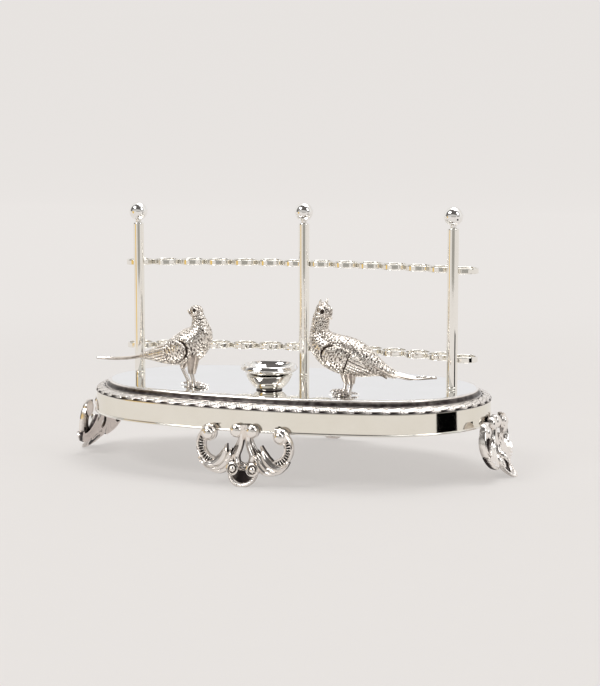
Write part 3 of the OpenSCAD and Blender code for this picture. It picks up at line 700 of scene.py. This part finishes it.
class Bird:
    """A cast pheasant in its own frame: facing +X, its legs at the origin, the deck at z = 0."""

    def __init__(self):
        self.plumage, self.limbs = Shell(), Shell()

    def loft(self, stations, scale, counts, wing):
        """Skins elliptical stations [x, z, lean, half-width, half-height] and raises feather scales.

        scale is a scale's length, counts how many lie round the body, and wing changes the relief."""
        track = spline([(s[0], s[1], s[2]) for s in stations], 12)
        sizes = spline([(s[3], s[4], 0) for s in stations], 12)
        length = [0]
        for a, b in zip(track, track[1:]):
            length.append(length[-1] + hypot(a.x - b.x, a.y - b.y))
        total, steps = length[-1], round(length[-1] / 0.2)
        sides = counts * 6
        rows, values, at = [], [], 0
        for i in range(steps + 1):
            s = total * i / steps
            while at < len(length) - 2 and length[at + 1] < s:
                at += 1
            t = (s - length[at]) / max(length[at + 1] - length[at], 1e-6)
            spot, size = track[at].lerp(track[at + 1], t), sizes[at].lerp(sizes[at + 1], t)
            lean = radians(spot.z)
            row, value = [], []
            for k, a in enumerate(turns(sides)):
                normal = Vector((-sin(a) * sin(lean), cos(a), sin(a) * cos(lean)))
                p = Vector((spot.x - size.y * sin(a) * sin(lean), size.x * cos(a),
                            spot.y + size.y * sin(a) * cos(lean)))
                wobble = 0.55 * noise.noise(p * 0.45) + 0.4 * noise.noise(p * 1.2)
                rank = (total - s) / scale + wobble
                number = counts * k / sides + 0.5 * (floor(rank) % 2) + 0.45 * noise.noise(p * 0.8)
                off = number - floor(number) - 0.5
                phase = rank + 1.5 * off * off
                rise = phase - floor(phase)
                h = smoothstep(0, 0.25, rise) * (1 - 0.35 * abs(off) * 2) * smoothstep(1.0, 0.93, rise)
                h -= 0.25 * exp(-(off * 14) ** 2)
                lift, tone = wing(p, 0.55 * (h - 0.4), 1.15 * h - 0.1)
                slim = min(1, min(size.x, size.y) / 3)
                row.append(p + normal * lift * slim)
                patch = 0.45 * noise.noise(p * 1.1) + 0.3 * noise.noise(p * 2.3) - 0.06
                value.append(min(max(tone + patch * smoothstep(0, 0.4, tone), 0), 1))
            rows.append(row)
            values.append(value)
        self.plumage.solid(rows, values)

    def feather(self, path, widths, thick, tilt=0.0):
        """A long flat feather along a path, with a quill and slanting barbs."""
        curve = spline(path, 10)
        rows, values = [], []
        for i, p in enumerate(curve):
            ahead = heading(curve, i)
            side = Vector((-ahead.y, ahead.x, 0)).normalized()
            side = (Matrix.Rotation(tilt, 3, ahead) @ side).normalized()
            top = ahead.cross(side)
            top = top if top.z > 0 else -top
            w = width_at(widths, i / (len(curve) - 1))
            row, value = [], []
            for j in range(15):
                s = -1 + j / 7
                quill = exp(-(s * 5.5) ** 2)
                barb = 0.5 + 0.5 * sin(i * 3.2 + abs(s) * 5)
                h = 0.55 * (1 - s * s) + 0.35 * quill + 0.13 * barb * (1 - quill)
                row.append(p + side * w * s + top * thick * h)
                value.append(0.42 + 0.5 * quill + 0.5 * barb * (1 - abs(s)))
            for s in (0.7, -0.7):
                row.append(p + side * w * s - top * thick * 0.4)
                value.append(0.3)
            rows.append(row)
            values.append(value)
        self.plumage.solid(rows, values)

    def head(self, centre, beak, crown, size):
        """A head that looks towards its beak's tip. crown is the length of its ear tufts, 0 for none."""
        centre, beak = Vector(centre), Vector(beak)
        ahead = (beak - centre).normalized()
        side = ahead.cross(Vector((0, 0, 1))).normalized()
        up = side.cross(ahead)
        frame_of = Matrix((ahead, side, up)).transposed()
        rows, values = [], []
        for i in range(1, 40):
            a = pi * i / 40
            row, value = [], []
            for b in turns(56):
                d = Vector((cos(a), sin(a) * cos(b), sin(a) * sin(b)))
                r = size * (1 - 0.14 * abs(d.y)) * (1 + 0.28 * max(d.x, 0) ** 3)
                r *= 1 + 0.06 * noise.noise(d * 3.1)
                fine = noise.noise((centre + d * size) * 2.6)
                r += 0.3 * fine
                row.append(centre + frame_of @ (d * r))
                value.append(0.5 + 0.9 * fine)
            rows.append(row)
            values.append(value)
        self.plumage.solid(rows, values)
        for s in (-1, 1):
            eye = centre + frame_of @ Vector((size * 0.34, s * size * 0.8, size * 0.28))
            out = frame_of @ Vector((0.2, s, 0.15)).normalized()
            ring = []
            for k in range(25):
                b = TAU * k / 24
                across = out.cross(Vector((0, 0, 1))).normalized()
                ring.append(eye + (across * cos(b) + out.cross(across) * sin(b)) * size * 0.3)
            self.plumage.tube(ring, size * 0.075, 8, 0.95)
            self.plumage.ball(eye - out * 0.02, size * 0.2, 0.9, 14)
            self.plumage.ball(eye + out * 0.1, size * 0.26, 0.05, 12)
            cheek = centre + frame_of @ Vector((size * 0.3, s * size * 0.66, -size * 0.3))
            self.plumage.ball(cheek, size * 0.42, 0.75, 16)
            if crown:
                base = centre + frame_of @ Vector((-size * 0.55, s * size * 0.55, size * 0.62))
                tip = base + frame_of @ Vector((-size * 0.45, s * size * 0.25, size * 0.95)) * crown
                self.plumage.tube([base - (tip - base) * 0.4, base, base.lerp(tip, 0.6), tip],
                                  [0.5, 0.95, 0.6, 0.1], 10, [0.2, 0.6, 0.9, 1])
        root = centre + ahead * size * 0.8
        upper = [root - ahead * 0.8 + up * 0.35, root + ahead * 0.6 + up * 0.4,
                 beak + up * 0.5 - ahead * 0.5, beak]
        lower = [root - ahead * 0.8 - up * 0.5, root + ahead * 0.5 - up * 0.75, beak - up * 1.0 - ahead * 1.0]
        self.plumage.tube(upper, [1.45, 1.2, 0.65, 0.12], 14, [0.4, 0.8, 1, 1], 0.85)
        self.plumage.tube(lower, [1.1, 0.8, 0.12], 12, [0.2, 0.6, 0.9], 0.7)
        for s in (-1, 1):
            self.plumage.ball(root + ahead * 0.9 + up * 0.75 + side * s * 0.62, 0.22, 0.05, 8)

    def leg(self, top, knee, toe, thigh, toe_length, turn):
        """A feathered thigh, a scaly shank and four clawed toes."""
        top, knee, toe = Vector(top), Vector(knee), Vector((*toe, 0.9))
        thigh_path = spline([top + Vector((0, 0, 2)), top, top.lerp(knee, 0.55), knee], 5)
        taper = [thigh * (1.15 - 0.62 * i / (len(thigh_path) - 1)) for i in range(len(thigh_path))]
        self.plumage.tube(thigh_path, taper, 18, 0.45, 1.0, Vector((0, 1, 0)))
        shank = [knee.lerp(toe, i / 22) for i in range(23)]
        self.limbs.tube(shank, [0.95 + 0.09 * (i % 2) - 0.1 * sin(pi * i / 22) for i in range(23)], 12,
                        [0.35 + 0.55 * (i % 2) for i in range(23)], 1.0, Vector((0, 1, 0)))
        self.limbs.ball(toe + Vector((0, 0, 0.1)), 1.3, 0.7, 14, (1.1, 1, 0.8))
        for spread, reach in ((0, 1), (0.62, 0.86), (-0.62, 0.86), (pi, 0.5)):
            a = spread + turn
            along = Vector((cos(a), sin(a), 0))
            length = toe_length * reach
            path = [toe + along * length * k / 14 + Vector((0, 0, 0.25 * sin(pi * k / 14) - 0.12 * k / 14))
                    for k in range(15)]
            self.limbs.tube(path, [0.85 - 0.25 * k / 14 + 0.14 * (k % 4 == 1) for k in range(15)], 10,
                            [0.4 + 0.5 * (k % 4 == 1) for k in range(15)], 0.8)
            end = path[-1]
            claw = [end, end + along * 0.7 + Vector((0, 0, 0.1)), end + along * 1.5 - Vector((0, 0, 0.35))]
            self.limbs.tube(claw, [0.5, 0.34, 0.08], 8, 0.85)

    def set_down(self, name, node, turn, spot):
        """Turns the bird, stands it on the deck and makes its two pieces."""
        matrix = Matrix.Translation((*spot, DECK_TOP)) @ Matrix.Rotation(turn, 4, "Z")
        self.plumage.place(matrix).piece(f"{name}_body", FEATHER, "antiqued_silver", [node])
        self.limbs.place(matrix).piece(f"{name}_legs", CAST, "antiqued_silver", [node])


def wing_relief(front, tail, half_height, edge):
    """Relief of a folded wing on the body's side: an oval shoulder, and long feathers in the rear half.

    front and tail are the (x, z) ends of the wing's axis, and edge is how far it stands off the body."""
    axis = Vector((tail[0] - front[0], tail[1] - front[1]))
    span = axis.length
    axis.normalize()
    up = Vector((-axis.y, axis.x)) if axis.x < 0 else Vector((axis.y, -axis.x))
    up = up if up.y > 0 else -up

    def relief(p, lift, tone):
        if abs(p.y) < 1.6:
            return lift, tone
        q = Vector((p.x - front[0], p.z - front[1]))
        s, v = q.dot(axis) / span, q.dot(up) / half_height
        if s < -0.2 or s > 1.25:
            return lift, tone
        if s < 0.35:
            gap = hypot((0.35 - s) / 0.35, v)
        elif s < 1:
            gap = abs(v) / (1 - 0.8 * ((s - 0.35) / 0.65) ** 1.7)
        else:
            gap = 1.5
        side_fade = smoothstep(1.6, 3.4, abs(p.y))
        rim = exp(-((gap - 1.08) / 0.08) ** 2) * (1 if s < 0.12 else smoothstep(0.95, 0.1, v))
        if gap < 1.06:
            raise_by = edge * smoothstep(1.06, 0.96, gap)
            if s > LONG_FEATHERS:
                band = v * 4.2 + 0.5 * sin(s * 2.2)
                line = band - floor(band)
                h = smoothstep(0, 0.2, line) * smoothstep(1, 0.8, line)
                h += 0.18 * sin(s * span * 6 + line * 3)
                lift, tone = 0.3 * (h - 0.3), 0.1 + 0.8 * h
                seam = exp(-((s - LONG_FEATHERS) / 0.022) ** 2)
                lift, tone = lift - 0.45 * seam, tone * (1 - seam)
            lift += raise_by * side_fade
            if 0.9 < gap:
                tone = tone + (0.95 - tone) * side_fade * smoothstep(0.9, 0.97, gap)
        lift -= 0.45 * rim * side_fade
        tone *= 1 - 0.97 * rim * side_fade
        return lift, tone

    return relief


BIRD_X, BIRD_Y = 36.5, box_mm("hen_pheasant")[2].y
# how far along a wing its long feathers start
LONG_FEATHERS = 0.5

hen = Bird()
hen.loft([[-27, 12.9, 6, 2.1, 1.2], [-22.5, 13.6, 8, 3.2, 2.2], [-18.3, 14.1, 12, 4.4, 3.5],
          [-14, 14.7, 14, 5.6, 4.9], [-9.8, 15.8, 16, 6.7, 6.1], [-5.2, 17.4, 20, 7.4, 7.3],
          [-1.2, 19.4, 28, 7.5, 7.8], [2.3, 22.4, 44, 6.5, 6.6], [3.7, 26.3, 70, 4.9, 5.0],
          [3.0, 29.4, 88, 3.6, 3.7], [2.2, 31.8, 98, 2.8, 2.9], [1.7, 33.8, 108, 2.4, 2.5]],
         1.35, 24, wing_relief((-1.4, 18.2), (-21.5, 12.8), 4.9, 0.6))
hen.head((1.3, 0, 34.7), (-2.7, -1.6, 34.5), 0, 2.95)
for lift, spread, reach in ((0.0, 0.0, 1.0), (-0.35, 1.1, 0.86), (-0.35, -1.1, 0.86), (0.35, 0.5, 0.72),
                            (0.35, -0.5, 0.72)):
    hen.feather([(-18, spread * 1.4, 15.2 + lift), (-24, spread * 1.2, 13.6 + lift),
                 (-30 - 2 * reach, spread, 11.9 + lift * 0.8),
                 (-33 - 9 * reach, spread * 0.6, 11.1 + lift * 0.6),
                 (-34 - 16 * reach, spread * 0.25, 10.9 + lift * 0.2)], [2.0, 1.7, 1.35, 1.0, 0.2], 0.7)
hen.leg((-5.6, 2.8, 11.6), (-7.4, 2.8, 8.0), (-3.6, 2.6), 2.4, 5.4, 0.1)
hen.leg((0.4, -2.6, 13.4), (-0.2, -2.8, 6.2), (1.0, -2.6), 3.2, 6.2, -0.15)
hen.set_down("hen", "hen_pheasant", 0, (-BIRD_X, BIRD_Y))

cock = Bird()
cock.loft([[-24, 9.7, 14, 2.5, 1.5], [-18.3, 11.5, 26, 4.2, 2.6], [-13.5, 13.2, 24, 5.7, 4.7],
           [-9, 14.9, 22, 6.9, 6.8], [-3.1, 16.7, 24, 7.9, 8.4], [2.4, 18.4, 28, 8.3, 8.5],
           [7, 20.4, 36, 7.6, 7.7], [11, 23.8, 52, 6.0, 6.1], [12.2, 27.4, 70, 4.4, 4.4],
           [11.6, 31.4, 84, 3.7, 3.9], [11.2, 34.4, 98, 3.3, 3.5], [10.6, 36.4, 108, 2.9, 3.1]],
          1.4, 26, wing_relief((7.8, 19.4), (-13.5, 10.2), 5.5, 0.7))
cock.head((10.2, 0, 37.2), (5.9, 1.4, 33.4), 0.62, 3.8)
collar = [Vector((12.0 + 4.5 * cos(a) * 0.84, 4.5 * sin(a), 27.6 - 1.5 * cos(a)))
          for a in [TAU * k / 40 for k in range(41)]]
cock.plumage.tube(collar, 0.4, 8, 0.95)
for lift, spread, reach in ((0.2, 0.0, 1.0), (0.0, 1.2, 0.9), (0.0, -1.2, 0.9), (0.5, 0.55, 0.74),
                            (0.5, -0.55, 0.74), (-0.3, 1.9, 0.6), (-0.3, -1.9, 0.6)):
    cock.feather([(-12, spread * 1.8, 16.2 + lift), (-17, spread * 1.7, 13.0 + lift),
                  (-21.5, spread * 1.4, 10.7 + lift), (-23 - 5 * reach, spread, 9.4 + lift * 0.8),
                  (-24 - 11 * reach, spread * 0.7, 8.6 + lift * 0.6),
                  (-24 - 18.4 * reach, spread * 0.3, 9.2 + lift * 0.3)], [2.6, 2.3, 1.9, 1.5, 1.1, 0.25], 0.8)
for row in range(3):
    for s in (-1, 1):
        for k in range(3):
            y = s * (0.9 + 1.5 * k)
            start = Vector((-3 - 4 * row, y * 1.1, 24.4 - 3.0 * row - 0.16 * y * y))
            path = [start, start + Vector((-5, -y * 0.12, -4.4)), start + Vector((-9.5, -y * 0.3, -7.6))]
            cock.feather(path, [0.7, 1.15, 0.15], 0.55, -s * 0.35 * k)
cock.leg((-3.6, 3.0, 9.6), (-4.0, 3.0, 5.2), (-2.8, 3.0), 2.8, 6.2, 0.35)
cock.leg((0.8, -3.0, 9.8), (0.4, -3.2, 5.2), (1.2, -3.0), 2.8, 6.0, -0.35)
cock.set_down("cock", "cock_pheasant", pi, (BIRD_X, BIRD_Y))

# CAD nodes that keep their shape get their own metal
for name in ("post_washers", "post_nuts", "cup_screw", "bird_studs", "bird_nuts"):
    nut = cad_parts[name]
    nut.data.materials.clear()
    nut.data.materials.append(BRASS)

# ---------------------------------------------------------------- studio


def floor_material(name, colour, share, glow):
    """Pale seamless paper: an even glow, with a diffuse share near the object that takes soft shadows."""
    mat, shader, node = new_material(name)
    coords = node("ShaderNodeTexCoord")
    tone = ramp(node("ShaderNodeValToRGB"), [(0.3, [c * share * 0.992 for c in colour]),
                                               (0.7, [c * share for c in colour])])
    join(noise_node(node, coords, 60, 3), tone, "Fac")
    # the glow takes over away from the object, so that the paper stays even up to the horizon
    away = node("ShaderNodeVectorMath", operation="LENGTH")
    join(coords.outputs["Object"], away, 0)
    glowing, fading = [map_range(node, away.outputs["Value"], near, far, 0.16, 0.75,
                                 interpolation_type="SMOOTHSTEP") for near, far in ((glow, 1), (1, 0))]
    join(glowing, shader, "Emission Strength")
    dim = node("ShaderNodeMix", data_type="RGBA", blend_type="MULTIPLY")
    set_inputs(dim, Factor=1)
    join(tone.outputs["Color"], dim, "A")
    join(fading, dim, "B")
    join(dim.outputs["Result"], shader, "Base Color")
    set_inputs(shader, Roughness=0.9, Specular_IOR_Level=0.1, Emission_Color=(*colour, 1))
    return mat


def stage_sheet(name, points, faces, material, **visible):
    """A studio surface or reflector card, in metres. visible switches off the rays that shouldn't see it."""
    mesh = bpy.data.meshes.new(name)
    mesh.from_pydata(points, [], faces)
    mesh.materials.append(material)
    obj = new_object(name, mesh)
    for key, value in visible.items():
        setattr(obj, f"visible_{key}", value)
    return obj


def card(name, centre, width, height, facing, colour, strength):
    """A card that only reflections see. facing is the azimuth it looks towards, in degrees from +X."""
    mat, shader, _ = new_material(name)
    set_inputs(shader, Base_Color=(0, 0, 0, 1), Specular_IOR_Level=0, Emission_Color=(*colour, 1),
               Emission_Strength=strength)
    a = radians(facing)
    side, up = Vector((-sin(a), cos(a), 0)), Vector((0, 0, 1))
    pts = [Vector(centre) + side * sx * width / 2 + up * sz * height / 2
           for sx, sz in ((-1, -1), (1, -1), (1, 1), (-1, 1))]
    stage_sheet(name, pts, [(0, 1, 2, 3)], mat, camera=False, diffuse=False, shadow=False)


PAPER = floor_material("studio_paper", (0.798, 0.768, 0.745), 0.325, 0.6)
REACH, WALL_Y, WALL_TOP, BEND = 6.0, 4.0, 5.0, 1.5
sweep = [(-REACH, 0)] + [(WALL_Y - BEND + BEND * sin(a), BEND - BEND * cos(a))
                         for a in [pi / 2 * k / 24 for k in range(25)]] + [(WALL_Y, WALL_TOP)]
paper_points = [Vector((x, y, z)) for y, z in sweep for x in (-REACH, REACH)]
paper = stage_sheet("studio_floor", paper_points,
                    [(2 * i, 2 * i + 1, 2 * i + 3, 2 * i + 2) for i in range(len(sweep) - 1)], PAPER)
for polygon in paper.data.polygons:
    polygon.use_smooth = True

world = bpy.data.worlds.new("studio")
bpy.context.scene.world = world
world.use_nodes = True
sky, sky_back = world.node_tree, world.node_tree.nodes["Background"]
# The room: bright towards the backdrop and darker behind the camera. Camera rays see an even pale tone.
direction = sky.nodes.new("ShaderNodeTexCoord")
parts = sky.nodes.new("ShaderNodeSeparateXYZ")
join(direction.outputs["Generated"], parts, "Vector")
room = ramp(sky.nodes.new("ShaderNodeValToRGB"), [(0.0, (0.1, 0.095, 0.09)), (0.42, (0.16, 0.15, 0.145)),
                                                  (0.58, (0.85, 0.84, 0.82)), (1.0, (1.0, 0.99, 0.97))])
join(map_range(sky.nodes.new, parts.outputs["Y"], 0, 1, -1), room, "Fac")
rays = sky.nodes.new("ShaderNodeLightPath")
seen = sky.nodes.new("ShaderNodeMix")
seen.data_type = "RGBA"
seen.inputs["B"].default_value = (0.798, 0.768, 0.745, 1)
join(rays.outputs["Is Camera Ray"], seen, "Factor")
join(room.outputs["Color"], seen, "A")
join(seen.outputs["Result"], sky_back, "Color")


def area_light(name, place, target, size, power, colour=(1, 1, 1)):
    """A soft rectangular studio light aimed at a point, in metres and watts."""
    data = bpy.data.lights.new(name, "AREA")
    data.shape, data.size, data.size_y = "RECTANGLE", *size
    data.energy, data.color = power, colour
    light = new_object(name, data)
    light.location = place
    light.rotation_euler = (Vector(target) - Vector(place)).to_track_quat("-Z", "Y").to_euler()


area_light("key", (-0.75, -0.85, 1.2), (0, 0, 0.05), (0.7, 0.55), 10)
area_light("overhead", (0.2, 0.35, 1.5), (0, 0, 0.05), (1.3, 0.9), 12)
area_light("fill", (1.2, -0.4, 0.8), (0, 0, 0.05), (0.4, 0.8), 3)
card("dark_flag_right", (0.2, -0.035, 0.025), 0.062, 0.05, 180, (0, 0, 0), 0)
card("dim_room", (0.31, -0.87, 0.075), 0.95, 0.15, 110, (0.36, 0.35, 0.325), 1)
card("gold_card_left", (-0.24, -0.165, 0.07), 0.1, 0.095, 34, (0.9, 0.62, 0.2), 0.95)
card("bright_wall", (0, 3.6, 0.75), 4, 1.1, -90, (0.83, 0.83, 0.845), 1)
card("far_wall", (0, -3.6, 0.9), 12, 1.8, 90, (0.6, 0.59, 0.57), 1)

# ---------------------------------------------------------------- camera

AZIMUTH, ELEVATION, DISTANCE = radians(19.66), radians(7.08), 0.7888
TARGET = Vector((0.0043, 0.0015, 0.0562))
back = Vector((sin(AZIMUTH) * cos(ELEVATION), -cos(AZIMUTH) * cos(ELEVATION), sin(ELEVATION)))
lens = bpy.data.cameras.new("camera")
lens.lens, lens.sensor_width, lens.clip_start, lens.clip_end = 88.1, 36, 0.02, 40
camera = new_object("camera", lens)
camera.location = TARGET + back * DISTANCE
camera.rotation_euler = (-back).to_track_quat("-Z", "Y").to_euler()
bpy.context.scene.camera = camera
bpy.context.scene.view_settings.view_transform = "Standard"
